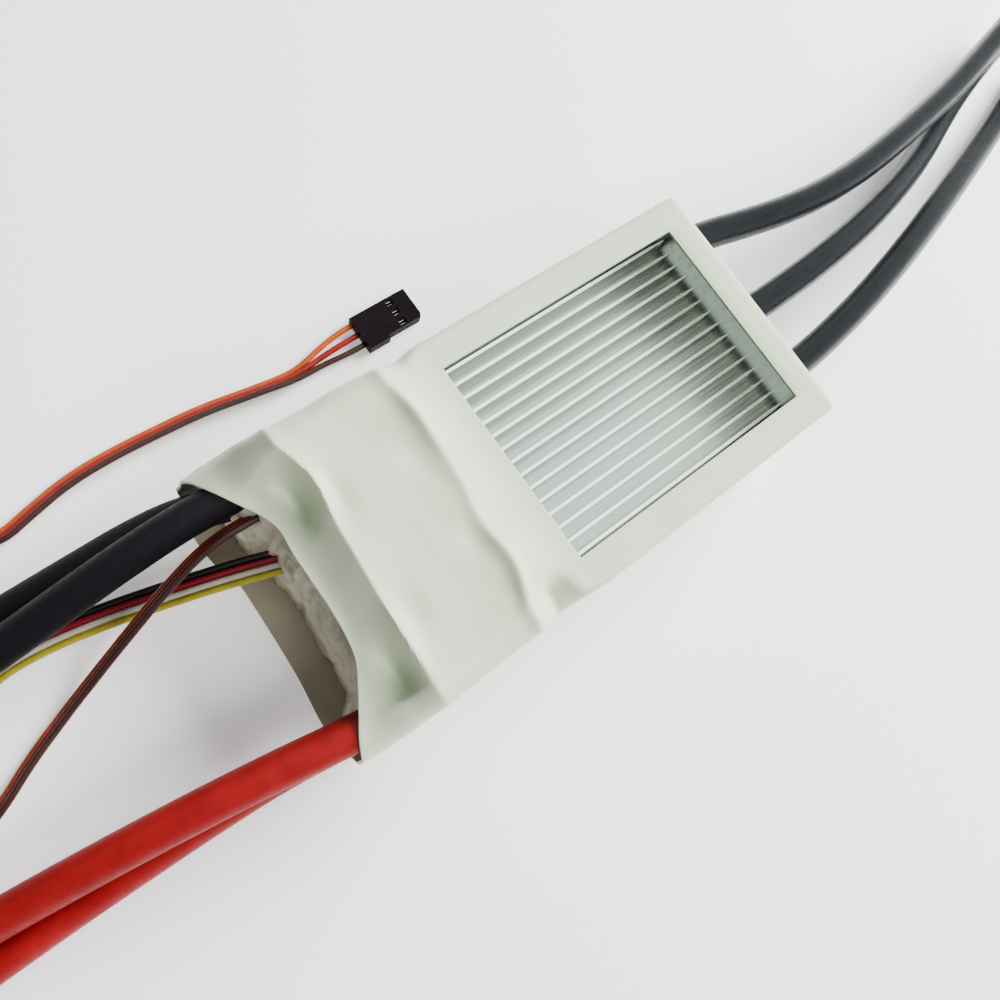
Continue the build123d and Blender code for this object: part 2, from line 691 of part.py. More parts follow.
def plug(name, x, y, pins, side):
    """A flat housing, open towards side, with a window over each contact, and its contacts."""
    width = pins * PIN_PITCH - 0.2
    nose = x + side * PLUG_LENGTH
    low, high = y - width / 2, y + width / 2
    with BuildPart() as housing:
        with BuildSketch(Plane.XY):
            Polygon(
                (x, high),
                (x, low - PLUG_STEP_DEPTH),
                (x + side * PLUG_STEP_LENGTH, low - PLUG_STEP_DEPTH),
                (x + side * PLUG_STEP_LENGTH, low),
                (nose - side * PLUG_CORNER / 2, low),
                (nose, low + PLUG_CORNER),
                (nose, high),
                align=None,
            )
        extrude(amount=PLUG_HEIGHT)
        with BuildSketch(Plane.XY.offset((PLUG_HEIGHT - PLUG_HOLE) / 2)):
            with Locations((x + side * (PLUG_LENGTH + PLUG_BACK_WALL) / 2, y)):
                with GridLocations(1, PIN_PITCH, 1, pins):
                    Rectangle(PLUG_LENGTH - PLUG_BACK_WALL, PLUG_HOLE)
        extrude(amount=PLUG_HOLE, mode=Mode.SUBTRACT)
        with BuildSketch(Plane.XY.offset(PLUG_HEIGHT / 2)):
            with Locations((x + side * PLUG_WINDOW_X, y)):
                with GridLocations(1, PIN_PITCH, 1, pins):
                    Rectangle(PLUG_WINDOW_LENGTH, PLUG_WINDOW_WIDTH)
        extrude(amount=PLUG_HEIGHT, mode=Mode.SUBTRACT)
    finish(housing.part, name)
    with BuildPart() as contacts:
        with BuildSketch(Plane.XY.offset((PLUG_HEIGHT - CONTACT_THICK) / 2)):
            with Locations((x + side * CONTACT_X, y)):
                with GridLocations(1, PIN_PITCH, 1, pins):
                    Rectangle(CONTACT_LENGTH, CONTACT_WIDTH)
                    Rectangle(CONTACT_BORE_LENGTH, CONTACT_BORE_WIDTH, mode=Mode.SUBTRACT)
        extrude(amount=CONTACT_THICK)
    finish(contacts.part, name.replace("plug", "contacts"))


plug("servo_plug", SERVO_PLUG_X, SERVO_PLUG_Y, 3, 1)
plug("data_plug", DATA_PLUG_X, DATA_PLUG_Y, 4, -1)
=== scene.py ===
import json
import math

import bpy
from mathutils import Euler, Matrix, Vector, noise


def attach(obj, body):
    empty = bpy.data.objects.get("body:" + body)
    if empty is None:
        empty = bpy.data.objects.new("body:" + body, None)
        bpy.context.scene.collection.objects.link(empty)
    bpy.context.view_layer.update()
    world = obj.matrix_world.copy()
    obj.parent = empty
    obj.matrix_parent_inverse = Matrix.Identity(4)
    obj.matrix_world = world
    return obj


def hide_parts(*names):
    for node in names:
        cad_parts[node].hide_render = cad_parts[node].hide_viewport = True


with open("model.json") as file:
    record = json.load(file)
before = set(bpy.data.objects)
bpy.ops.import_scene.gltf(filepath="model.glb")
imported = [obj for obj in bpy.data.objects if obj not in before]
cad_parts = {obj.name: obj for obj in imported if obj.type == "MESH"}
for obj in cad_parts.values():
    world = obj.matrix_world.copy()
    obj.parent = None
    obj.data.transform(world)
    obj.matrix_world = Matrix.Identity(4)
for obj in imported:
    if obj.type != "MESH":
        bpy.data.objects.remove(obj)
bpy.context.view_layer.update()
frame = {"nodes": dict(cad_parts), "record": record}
nodes = frame["nodes"]

MM = 0.001


def new_object(name, data, *materials):
    obj = bpy.data.objects.new(name, data)
    bpy.context.scene.collection.objects.link(obj)
    for material in materials:
        data.materials.append(material)
    return obj


def final_mesh(obj):
    """A new mesh of what an object looks like with its modifiers or curve settings."""
    bpy.context.view_layer.update()
    return bpy.data.meshes.new_from_object(obj.evaluated_get(bpy.context.evaluated_depsgraph_get()))


# ---------------------------------------------------------------- materials
class Shade:
    """A small helper around one node-based material."""

    def __init__(self, name, color, rough, **sockets):
        self.mat = bpy.data.materials.new(name)
        self.mat.use_nodes = True
        self.tree = self.mat.node_tree
        self.bsdf = self.tree.nodes["Principled BSDF"]
        self.coords = self.node("ShaderNodeTexCoord").outputs["Object"]
        self.set("Base Color", (*color, 1))
        self.set("Roughness", rough)
        for key, value in sockets.items():
            self.set(key.replace("_", " "), value)
        self.height = None

    def node(self, kind, **values):
        found = self.tree.nodes.new(kind)
        for key, value in values.items():
            setattr(found, key, value)
        return found

    def set(self, socket, value):
        self.bsdf.inputs[socket].default_value = value

    def link(self, a, b):
        self.tree.links.new(a, b)

    def noise(self, scale, detail=3, rough=0.5, stretch=None):
        """Noise in object space; scale is in cycles per metre."""
        tex = self.node("ShaderNodeTexNoise")
        tex.inputs["Scale"].default_value = scale
        tex.inputs["Detail"].default_value = detail
        tex.inputs["Roughness"].default_value = rough
        vector = self.coords
        if stretch:
            mapping = self.node("ShaderNodeMapping")
            mapping.inputs["Scale"].default_value = stretch
            self.link(vector, mapping.inputs["Vector"])
            vector = mapping.outputs["Vector"]
        self.link(vector, tex.inputs["Vector"])
        return tex.outputs["Fac"]

    def ramp(self, value, stops):
        ramp = self.node("ShaderNodeValToRGB")
        while len(ramp.color_ramp.elements) < len(stops):
            ramp.color_ramp.elements.new(0.5)
        for element, (place, color) in zip(ramp.color_ramp.elements, stops):
            element.position = place
            element.color = (*color, 1)
        self.link(value, ramp.inputs["Fac"])
        return ramp.outputs["Color"]

    def spread(self, value, low, high, start=0.3, stop=0.7):
        """A number from low to high as value goes from start to stop."""
        node = self.node("ShaderNodeMapRange")
        node.inputs["From Min"].default_value = start
        node.inputs["From Max"].default_value = stop
        node.inputs["To Min"].default_value = low
        node.inputs["To Max"].default_value = high
        self.link(value, node.inputs["Value"])
        return node.outputs["Result"]

    def color(self, value, stops):
        self.link(self.ramp(value, stops), self.bsdf.inputs["Base Color"])
        return self

    def rough(self, value, low, high):
        self.link(self.spread(value, low, high), self.bsdf.inputs["Roughness"])
        return self

    def bump(self, value, strength, distance):
        """Adds one layer of bump on top of the ones before it."""
        bump = self.node("ShaderNodeBump")
        bump.inputs["Strength"].default_value = strength
        bump.inputs["Distance"].default_value = distance
        self.link(value, bump.inputs["Height"])
        if self.height is not None:
            self.link(self.height, bump.inputs["Normal"])
        self.height = bump.outputs["Normal"]
        self.link(self.height, self.bsdf.inputs["Normal"])
        return self


def tint(color, factor):
    return tuple(min(1.0, c * factor) for c in color)


def silicone(name, color, rough, shine):
    """Satin silicone rubber: slight mottling, a fine dusty grain and small pits."""
    s = Shade(name, color, rough, Specular_IOR_Level=shine)
    cloud = s.noise(180, 4, 0.6)
    s.color(cloud, [(0.3, tint(color, 0.82)), (0.7, tint(color, 1.2))])
    s.rough(s.noise(900, 4, 0.6), rough - 0.07, rough + 0.09)
    s.bump(s.noise(2600, 3, 0.6), 0.25, 0.00006)
    s.bump(s.noise(260, 3, 0.5), 0.35, 0.0002)
    return s.mat


BLUE = silicone("motor_wire_silicone", (0.006, 0.008, 0.010), 0.34, 0.5)
BLACK = silicone("black_wire_silicone", (0.0030, 0.0020, 0.0038), 0.6, 0.14)
RED = silicone("red_wire_silicone", (0.24, 0.0035, 0.0055), 0.5, 0.16)


# ---------------------------------------------------------------- curves
def nurbs_curve(name, points):
    """One open NURBS spline of order 3 through control points given in millimetres."""
    data = bpy.data.curves.new(name, "CURVE")
    data.dimensions = "3D"
    data.resolution_u = 12
    spline = data.splines.new("NURBS")
    spline.points.add(len(points) - 1)
    for point, place in zip(spline.points, points):
        point.co = (place[0] * MM, place[1] * MM, place[2] * MM, 1)
    spline.order_u = 3
    spline.use_endpoint_u = True
    return new_object(name, data)


def read_line(points):
    """The points, in metres, of the smooth line of a route, from a curve with no bevel."""
    obj = nurbs_curve("line", points)
    mesh = final_mesh(obj)
    line = [v.co.copy() for v in mesh.vertices]
    bpy.data.meshes.remove(mesh)
    bpy.data.objects.remove(obj)
    return line


POWER_ROUTES = {
    "motor_wire_a": (BLUE, (0.0585, 0.0206, 0.014), 0.1507, [
        (48, 20.6, 14), (57, 20.6, 14), (67, 19.5, 14), (77, 17.1, 14), (88.5, 14.7, 13.9),
        (101.5, 13.2, 13.5), (116, 13.1, 13), (131, 14.4, 12.5), (147, 16.3, 11.7),
        (163.5, 18.6, 11), (181, 22.2, 10.5), (197, 25.6, 10.3)]),
    "motor_wire_b": (BLUE, (0.0585, -0.0005, 0.014), 0.1537, [
        (48, -0.5, 14), (57, -0.5, 14), (67, -0.6, 14), (78, -0.5, 13.8), (91, 0.1, 13),
        (106, 1.4, 11.5), (121, 3.7, 9.4), (135, 6.5, 7.1), (148, 10, 5.1), (160, 14, 3.8),
        (172, 18, 3.4), (185, 21.5, 3.4), (198, 24.3, 3.4)]),
    "motor_wire_c": (BLUE, (0.0585, -0.0164, 0.014), 0.1548, [
        (48, -16.4, 14), (57, -16.4, 14), (67, -16.2, 14), (77, -15.4, 14), (90, -13.8, 13.6),
        (104, -11.4, 12.8), (119, -8.4, 11.4), (134, -5.1, 9.5), (148, -2, 7.6),
        (162, 1.3, 5.6), (176, 4.9, 4), (188, 8.4, 3.4), (199, 12, 3.4)]),
    "battery_negative_wire_1": (BLACK, (-0.055, 0.0255, 0.0105), 0.1071, [
        (-42, 23.7, 10.5), (-49.5, 23.7, 10.5), (-58, 27.2, 10.4), (-67, 28.5, 9.9),
        (-78, 28.8, 8.9), (-91, 29.3, 7.1), (-105, 29.7, 5.1), (-119, 29.8, 3.8),
        (-134, 29.4, 3.4), (-148, 28.4, 3.4)]),
    "battery_negative_wire_2": (BLACK, (-0.055, 0.024, 0.0175), 0.1083, [
        (-42, 23.7, 17.5), (-50, 23.7, 17.5), (-59, 24.3, 17.4), (-70, 24.2, 16.3),
        (-82, 23.8, 14.4), (-96, 23.3, 11.6), (-110, 22.8, 8.6), (-124, 22.2, 5.8),
        (-137, 21.6, 4), (-149, 21, 3.4)]),
    "battery_positive_wire_1": (RED, (-0.055, -0.0229, 0.0175), 0.1142, [
        (-42, -23.7, 17.5), (-50, -23.7, 17.5), (-59, -22.1, 17.4), (-69.5, -19.9, 17),
        (-83, -17.5, 15.5), (-98, -15.2, 12.7), (-113, -13.2, 9.6), (-128, -11.6, 6.7),
        (-142, -10.5, 4.3), (-154, -9.8, 3.4)]),
    "battery_positive_wire_2": (RED, (-0.055, -0.0231, 0.0105), 0.1097, [
        (-42, -23.7, 10.5), (-50, -23.7, 10.5), (-58.5, -22.7, 10.4), (-68, -20.9, 9.9),
        (-81, -19.8, 8.4), (-95, -19.1, 6.4), (-109, -18.5, 4.7), (-123, -18.2, 3.7),
        (-137, -17.9, 3.4), (-151, -17.3, 3.4)]),
}
POWER_RADIUS = 3.35

for name, (mat, way_out, length, route) in POWER_ROUTES.items():
    wire = nurbs_curve(name + "_insulation", route)
    wire.data.bevel_depth = POWER_RADIUS * MM
    wire.data.bevel_resolution = 8
    wire.data.use_fill_caps = True
    wire.data.materials.append(mat)
    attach(wire, "root")
    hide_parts(name)


# ---------------------------------------------------------------- flat leads
def sweep_strands(name, line, frames, strands, materials, sides=12):
    """Strands that follow a line side by side. Each strand is an offset and radii per line point."""
    verts, faces, slots = [], [], []
    for number, strand in enumerate(strands):
        base = len(verts)
        for i, (centre, (across, up)) in enumerate(zip(line, frames)):
            offset, lift, half_w, half_h = strand(i)
            middle = centre + across * offset + up * lift
            for k in range(sides):
                a = 2 * math.pi * k / sides
                verts.append(middle + across * (half_w * math.cos(a)) + up * (half_h * math.sin(a)))
        count = len(line)
        for i in range(count - 1):
            for k in range(sides):
                a, b = base + i * sides + k, base + i * sides + (k + 1) % sides
                faces.append((a, b, b + sides, a + sides))
                slots.append(number)
        faces.append(tuple(base + k for k in reversed(range(sides))))
        faces.append(tuple(base + (count - 1) * sides + k for k in range(sides)))
        slots += [number, number]
    mesh = bpy.data.meshes.new(name)
    mesh.from_pydata(verts, [], faces)
    obj = new_object(name, mesh, *materials)
    mesh.polygons.foreach_set("material_index", slots)
    mesh.polygons.foreach_set("use_smooth", [len(f) == 4 for f in faces])
    mesh.update()
    return obj


def ribbon_frames(line, tilt):
    """Across and up directions along a line, and the length so far at each of its points.

    tilt(length, whole) is the ribbon's lean in degrees after that length of the whole.
    """
    frames = []
    lengths = [0.0]
    for a, b in zip(line, line[1:]):
        lengths.append(lengths[-1] + (b - a).length)
    for i, centre in enumerate(line):
        before, after = line[max(i - 1, 0)], line[min(i + 1, len(line) - 1)]
        along = (after - before).normalized()
        flat = Vector((0, 0, 1)).cross(along).normalized()
        up = along.cross(flat).normalized()
        lean = math.radians(tilt(lengths[i], lengths[-1]))
        frames.append((flat * math.cos(lean) + up * math.sin(lean),
                       up * math.cos(lean) - flat * math.sin(lean)))
    return frames, lengths


def ease(x, start, stop):
    t = min(max((x - start) / (stop - start), 0.0), 1.0)
    return t * t * (3 - 2 * t)


def pvc(name, color):
    """Thin extruded PVC insulation, slightly mottled."""
    s = Shade(name, color, 0.38, Specular_IOR_Level=0.3)
    cloud = s.noise(260, 4, 0.6)
    s.color(cloud, [(0.25, tint(color, 0.78)), (0.75, tint(color, 1.25))])
    s.rough(s.noise(1500, 3), 0.30, 0.48)
    s.bump(s.noise(2200, 3, 0.5), 0.3, 0.00005)
    return s.mat


ORANGE = pvc("servo_lead_orange", (0.40, 0.060, 0.005))
LEAD_RED = pvc("servo_lead_red", (0.22, 0.006, 0.004))
BROWN = pvc("servo_lead_brown", (0.030, 0.008, 0.006))
LEAD_BLACK = pvc("data_lead_black", (0.004, 0.003, 0.003))
CRIMSON = pvc("data_lead_crimson", (0.15, 0.004, 0.012))
WHITE = pvc("data_lead_white", (0.42, 0.38, 0.30))
YELLOW = pvc("data_lead_yellow", (0.30, 0.25, 0.015))

SERVO_ROUTE = [
    (-41.5, 18.34, 15.38), (-51, 18.7, 16.8), (-59, 18.8, 15.2), (-68, 17.1, 11.8),
    (-77, 14.8, 8), (-86, 12.3, 4.4), (-94.5, 9.6, 2), (-102.5, 6.2, 1.3),
    (-110, 2.1, 1.3), (-118, -0.6, 1.6), (-125.5, 1.2, 3.6), (-130, 7.5, 7.4),
    (-132.2, 16, 12.4), (-132, 25.5, 13), (-130.2, 35.5, 10.4), (-125.5, 43.5, 5.2),
    (-117, 48.5, 2), (-107.5, 49.4, 1.3), (-97.5, 47.3, 1.3), (-88, 43.2, 1.3),
    (-80.5, 45.1, 1.3), (-72.5, 46.8, 1.3), (-63.5, 47.1, 1.3), (-54, 46.6, 1.3),
    (-44.5, 45.9, 1.3), (-34.5, 44.1, 1.3), (-25, 42.6, 1.3), (-16.5, 43.7, 1.3),
    (-8.9, 43.7, 1.3)]
servo_line = read_line(SERVO_ROUTE)
STRAND_WIDE = 1.25  # one conductor of the servo lead
SERVO_WIDE = STRAND_WIDE * MM
PITCH = 2.54 * MM
LEAN_AT_SLEEVE = -128
LEAN_ON_FLOOR = -34


def servo_tilt(s, whole):
    """On edge with brown on top at the sleeve, leaning over later, and flat at the plug."""
    lean = LEAN_AT_SLEEVE + (LEAN_ON_FLOOR - LEAN_AT_SLEEVE) * ease(s, 0.085, 0.125)
    return lean * (1 - ease(s, whole - 0.024, whole - 0.006))


servo_frames, servo_s = ribbon_frames(servo_line, servo_tilt)
servo_line_raised = []  # so that a leaning ribbon's lower edge stays on the floor
for p, s in zip(servo_line, servo_s):
    lean = math.radians(servo_tilt(s, servo_s[-1]))
    half = STRAND_WIDE * (1.5 * abs(math.sin(lean)) + 0.5 * abs(math.cos(lean)))
    lift = max(0, (half + 0.05) * MM - p.z)
    servo_line_raised.append(p + Vector((0, 0, lift)))


def servo_strand(number):
    def strand(i):
        fan = ease(servo_s[i], servo_s[-1] - 0.016, servo_s[-1] - 0.001)
        pitch = SERVO_WIDE * 0.97 * (1 - fan) + PITCH * fan
        half = SERVO_WIDE / 2
        return (number - 1) * pitch, 0.0, half, half
    return strand


servo = sweep_strands("servo_lead_ribbon", servo_line_raised, servo_frames,
                      [servo_strand(k) for k in range(3)], [BROWN, LEAD_RED, ORANGE])
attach(servo, "root")
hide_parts("servo_lead")

DATA_ROUTE = [
    (-41.5, 7.2, 12), (-52, 11.6, 9), (-61, 14.8, 7.4), (-71, 18, 5.1), (-80.5, 20.9, 2.8),
    (-90, 23, 1.5), (-98.5, 23.6, 1.3), (-107, 21.9, 1.3), (-115, 18, 1.3),
    (-122, 13.8, 1.3), (-129.5, 10.6, 1.3), (-137, 10.6, 1.3)]
data_line = read_line(DATA_ROUTE)
DATA_WIDE = 1.3 * MM


def lie_flat(s, whole):
    return 0


data_frames, data_s = ribbon_frames(data_line, lie_flat)


def data_strand(number):
    def strand(i):
        fan = ease(data_s[i], data_s[-1] - 0.009, data_s[-1] - 0.001)
        pitch = DATA_WIDE * 0.98 * (1 - fan) + PITCH * fan
        return (number - 1.5) * pitch, 0.0, DATA_WIDE / 2, DATA_WIDE / 2
    return strand


data = sweep_strands("data_lead_ribbon", data_line, data_frames,
                     [data_strand(k) for k in range(4)], [LEAD_BLACK, CRIMSON, WHITE, YELLOW])
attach(data, "root")
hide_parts("data_lead")


# ---------------------------------------------------------------- sleeve
def smooth_at(x, table):
    """A smooth curve through a short table of (place, value) pairs."""
    places = [p for p, _ in table]
    values = [v for _, v in table]
    if x <= places[0]:
        return values[0]
    if x >= places[-1]:
        return values[-1]
    i = max(k for k in range(len(places)) if places[k] <= x)
    slopes = []
    for k in (i, i + 1):
        a, b = max(k - 1, 0), min(k + 1, len(places) - 1)
        slopes.append((values[b] - values[a]) / (places[b] - places[a]))
    step = places[i + 1] - places[i]
    t = (x - places[i]) / step
    return ((2 * t**3 - 3 * t**2 + 1) * values[i] + (t**3 - 2 * t**2 + t) * step * slopes[0]
            + (3 * t**2 - 2 * t**3) * values[i + 1] + (t**3 - t**2) * step * slopes[1])


# All in millimetres. A table gives a place along Y, or along X from WIDTH_PLUS on, and a value.
DECK = 25.0  # height of the flat top around the window
DECK_EDGE = -7.6
WINDOW_START, WINDOW_STOP, WINDOW_HALF_WIDTH = -6.8, 51.6, 21.5
MOUTH_START = -36.0
MOUTH_NOMINAL = -60.0
CAN_TOP = 28.0
CAN_PITCH = 12.6

RIGHT_RIDGE = [(-28, -23.5), (-24.1, -21.4), (-15.3, -18.4), (-5.5, -18.8), (2.7, -17.4),
               (17.9, -16.9), (25.2, -18.4), (29, -19.5)]
LEFT_RIDGE = [(-27, -43), (-22.9, -42), (-10, -40.9), (-1.6, -40.2), (8, -39.4), (16.5, -38.6),
              (24.4, -40.4), (30, -43)]
LIP_X = [(-28, -57.7), (-26.5, -57.2), (-24, -56.1), (-21.2, -54.3), (-17, -51.6), (-12.6, -49.2),
         (-8.2, -48.3), (-3.3, -47.9), (2.9, -47.8), (8.1, -47.7), (13, -47.3), (16.6, -48.4),
         (20.4, -50.4), (26.7, -53.7), (32, -56.4)]
LIP_Z = [(-28, 20.6), (-24, 21.6), (-17, 21.9), (-8, 23.0), (3, 23.4), (11, 22.8), (20.4, 21.9),
         (24, 21.8), (28, 20.4), (32, 19.6)]
BOTTOM_X = [(-28.5, -58.2), (-24, -59.4), (-18.8, -59.7), (-9.5, -58.6), (-2, -58.1), (8.3, -57.7),
            (12.3, -57.7), (17.4, -59.2), (24.4, -59.7), (29, -58.8), (32, -57.4)]
WIDTH_PLUS = [(-60, 31.9), (-54, 31.8), (-48, 31), (-42, 29.4), (-36, 29), (-24, 28.9),
              (-18, 28.3), (-14, 27.7), (-9.5, 28.3), (-6, 28.2), (58.5, 28)]
WIDTH_MINUS = [(-60, 27.6), (-54, 28.1), (-49, 28.3), (-42, 28.1), (-24, 27.9), (-18, 27.8),
               (-14, 27.5), (-9, 27.8), (-5, 28.1), (58.5, 28)]
ROUND_PLUS = [(-60, 10.5), (-52, 8.4), (-46, 6.4), (-40, 5), (-18, 4.6), (-13, 3.6), (-9, 1.9),
              (-6, 1.5), (58.5, 1.5)]
ROUND_MINUS = [(-60, 6.2), (-52, 5.4), (-46, 5), (-40, 5), (-18, 4.8), (-13, 3.8), (-9, 1.9),
               (-6, 1.5), (58.5, 1.5)]
BOTTOM_ROUND = [(-60, 8), (-50, 6), (-40, 4), (-14, 3), (-6, 2), (58.5, 2)]
BOTTOM_ROUND_Z = [(-60, 11), (-50, 7), (-40, 4), (-14, 3), (-6, 2), (58.5, 2)]

# Soft dents in the top: X, Y, spread along X, spread along Y, depth.
HOLLOWS = [
    (-14.8, -24.2, 2.5, 2.5, 4.2),
    (-14.2, 27.2, 2.2, 2.6, 1.5),
    (-44.6, -19.0, 2.5, 5.0, 3.4),
    (-42.4, 15.4, 2.2, 4.6, 3.0),
    (-21.5, -8, 2.6, 3.4, 0.5),
    (-21.0, 10, 2.6, 4.0, 0.45),
    (-37.0, 11, 2.6, 4.5, 0.6),
    (-37.5, -12, 2.4, 4.5, 0.5),
]


def bell(value, centre, wide):
    return math.exp(-((value - centre) / wide) ** 2)


def top_height(x, y):
    """Height of the sleeve's top sheet: deck, rise to the cans, slack between, fall to the lip."""
    if x >= DECK_EDGE:
        return DECK
    right, left = smooth_at(y, RIGHT_RIDGE), smooth_at(y, LEFT_RIDGE)
    lip_x, lip_z = smooth_at(y, LIP_X), smooth_at(y, LIP_Z)
    edge = 1 - bell(y, 29, 5) - bell(y, -29, 5)  # folds die out towards the sides
    can = 0.18 * math.cos(2 * math.pi * y / CAN_PITCH)
    high_right = CAN_TOP - 0.1 + can
    high_left = CAN_TOP + can
    if x >= right:
        t = (DECK_EDGE - x) / (DECK_EDGE - right)
        z = DECK + (high_right - DECK) * (0.10 * t + 0.90 * t**2) * (1 + 0.18 * math.sin(math.pi * t))
    elif x >= left:
        t = (right - x) / (right - left)
        z = high_right + (high_left - high_right) * t - 0.75 * math.sin(math.pi * t) ** 0.7
    else:
        t = min((left - x) / (left - lip_x), 1.0)
        taut = edge * (0.1 + 0.9 * min(1.0, bell(y, 17, 7) + bell(y, -18, 8)))
        rounded, bent, steep = t * t * (3 - 2 * t), 1 - (1 - t) ** 2, 1 - (1 - t) ** 3
        soft = rounded + (bent - rounded) * 0.45 * edge
        z = high_left + (lip_z - high_left) * (soft + (steep - soft) * taut)
    right_crest = 0.3 + bell(y, 16, 6) + bell(y, -17, 7)
    left_crest = 0.12 + 1.15 * (bell(y, 15, 5) + bell(y, -17, 6))
    z += 0.85 * edge * right_crest * bell(x, right, 1.5)
    z += edge * left_crest * bell(x, left, 1.6)
    for at_x, at_y, wide_x, wide_y, depth in HOLLOWS:
        z -= depth * bell(x, at_x, wide_x) * bell(y, at_y, wide_y)
    return z


TOP_STEPS = 50
BOTTOM_STEPS = 26


class Side:
    """One half of a section: its measures, and its points from the top round to the bottom.

    A point is its distance from the middle plane, a kind and a share or height:
    "top" lies on the top sheet, "arc" that far below it, "side" at that share of the way down
    the side, and "low" at that height.
    """

    def __init__(self, nominal, widths, rounding):
        self.wide = smooth_at(nominal, widths)
        self.top_r = smooth_at(nominal, rounding)
        self.top_rz = self.top_r * 0.9
        low_r = smooth_at(nominal, BOTTOM_ROUND)
        self.low_rz = smooth_at(nominal, BOTTOM_ROUND_Z)
        flat, low_flat = self.wide - self.top_r, self.wide - low_r
        self.inner = min(WINDOW_HALF_WIDTH, flat - 0.7)
        self.low_inner = min(WINDOW_HALF_WIDTH, low_flat - 0.7)
        self.points = [(self.inner + (flat - self.inner) * k / 5, "top", 0.0) for k in range(1, 5)]
        for k in range(13):
            a = math.pi / 2 * k / 12
            self.points.append((flat + self.top_r * math.sin(a), "arc", self.top_rz * (1 - math.cos(a))))
        self.points += [(self.wide, "side", k / 9) for k in range(1, 9)]
        for k in range(8):
            a = math.pi / 2 * k / 7
            self.points.append((low_flat + low_r * math.cos(a), "low", self.low_rz * (1 - math.sin(a))))
        self.points += [(low_flat + (self.low_inner - low_flat) * k / 4, "low", 0.0) for k in range(1, 4)]

    def height(self, x, y, kind, value):
        if kind == "low":
            return value
        if kind == "top":
            return top_height(x, y)
        shoulder = top_height(x, math.copysign(self.wide - self.top_r, y))
        if kind == "arc":
            return shoulder - value
        high = shoulder - self.top_rz
        return high + (self.low_rz - high) * value


def section(nominal, x_of=None):
    """One loop of points around the sleeve, from +Y across the top to -Y and back underneath.

    Its measures are those at the nominal X; x_of gives each point its own X instead.
    """
    plus = Side(nominal, WIDTH_PLUS, ROUND_PLUS)
    minus = Side(nominal, WIDTH_MINUS, ROUND_MINUS)
    points = []
    for k in range(TOP_STEPS + 1):
        y = plus.inner - (minus.inner + plus.inner) * k / TOP_STEPS
        points.append((y, "top", 0.0, plus))
    points += [(-y, kind, value, minus) for y, kind, value in minus.points]
    for k in range(BOTTOM_STEPS + 1):
        y = -minus.low_inner + (plus.low_inner + minus.low_inner) * k / BOTTOM_STEPS
        points.append((y, "low", 0.0, plus))
    points += [(y, kind, value, plus) for y, kind, value in reversed(plus.points)]
    loop = []
    for number, (y, kind, value, side) in enumerate(points):
        x = nominal if x_of is None else x_of[number]
        loop.append((x, y, side.height(x, y, kind, value), kind, value))
    return loop


def mouth_ends():
    """How far along X each point of the loop goes at the mouth."""
    ends = []
    for _, y, _, kind, value in section(MOUTH_NOMINAL):
        low, high = smooth_at(y, BOTTOM_X), smooth_at(y, LIP_X)
        share = {"top": 0.0, "arc": 0.0, "low": 1.0, "side": value}[kind]
        ends.append(high + (low - high) * share)
    return ends


# How the motor end curls in: inset from the outline, and X.
CURL = [(2.5, 58.4), (1.9, 58.5), (1.2, 58.45), (0.6, 58.2), (0.2, 57.8)]
CURL_FROM = 57.5
HALF_WIDTH = 28.0
MIDDLE_Z = 12.5


def sleeve_rings():
    """Loops of points along the sleeve, from the curled motor end to the mouth."""
    rings = []
    for inset, x in CURL:
        ring = []
        for _, y, z, _, _ in section(CURL_FROM):
            own = inset * (1 + 0.22 * noise.noise(Vector((y * 0.16, z * 0.16, 3.1))))
            z = MIDDLE_Z + (z - MIDDLE_Z) * (1 - own / MIDDLE_Z)
            ring.append((x, y * (1 - own / HALF_WIDTH), z))
        rings.append(ring)
    stations = [57.2, 56, 54]
    stations += [WINDOW_STOP + (WINDOW_START - WINDOW_STOP) * k / 26 for k in range(27)]
    stations += [WINDOW_START + (MOUTH_START - WINDOW_START) * k / 54 for k in range(1, 55)]
    for x in stations:
        rings.append([p[:3] for p in section(x)])
    ends = mouth_ends()
    steps = 36
    for k in range(1, steps + 1):
        u = k / steps
        nominal = MOUTH_START + (MOUTH_NOMINAL - MOUTH_START) * u
        x_of = [MOUTH_START + (end - MOUTH_START) * u for end in ends]
        rings.append([p[:3] for p in section(nominal, x_of)])
    return rings


def rippled(x, y, z):
    """The point moved a little outward or inward: more where the sleeve is slack."""
    slack = min(max((-9 - x) / 6, 0), 1)
    ripple = noise.noise(Vector((x * 0.11, y * 0.09, z * 0.12)))
    fine = noise.noise(Vector((x * 0.34, y * 0.28, z * 0.3 + 9)))
    wave = noise.noise(Vector((x * 0.07, y * 0.08, z * 0.1)))
    lift = slack * (0.26 * ripple + 0.06 * fine) + 0.03 * wave
    if z < 2:
        lift = 0
    out = Vector((0, y / 28, (z - 12) / 13)).normalized() * lift
    return (x + out.x) * MM, (y + out.y) * MM, (z + out.z) * MM


def build_sleeve():
    rings = sleeve_rings()
    size = len(rings[0])
    verts = [rippled(*point) for ring in rings for point in ring]
    faces = []
    for r in range(len(rings) - 1):
        for k in range(size):
            a, b = r * size + k, r * size + (k + 1) % size
            middle_x = (rings[r][k][0] + rings[r + 1][k][0]) / 2
            if k < TOP_STEPS and WINDOW_START < middle_x < WINDOW_STOP:
                continue
            faces.append((a, a + size, b + size, b))
    mesh = bpy.data.meshes.new("heat_shrink_skin")
    mesh.from_pydata(verts, [], faces)
    mesh.update()
    top = max(mesh.polygons, key=lambda p: p.center.z)
    if top.normal.z < 0:
        mesh.flip_normals()
    return mesh


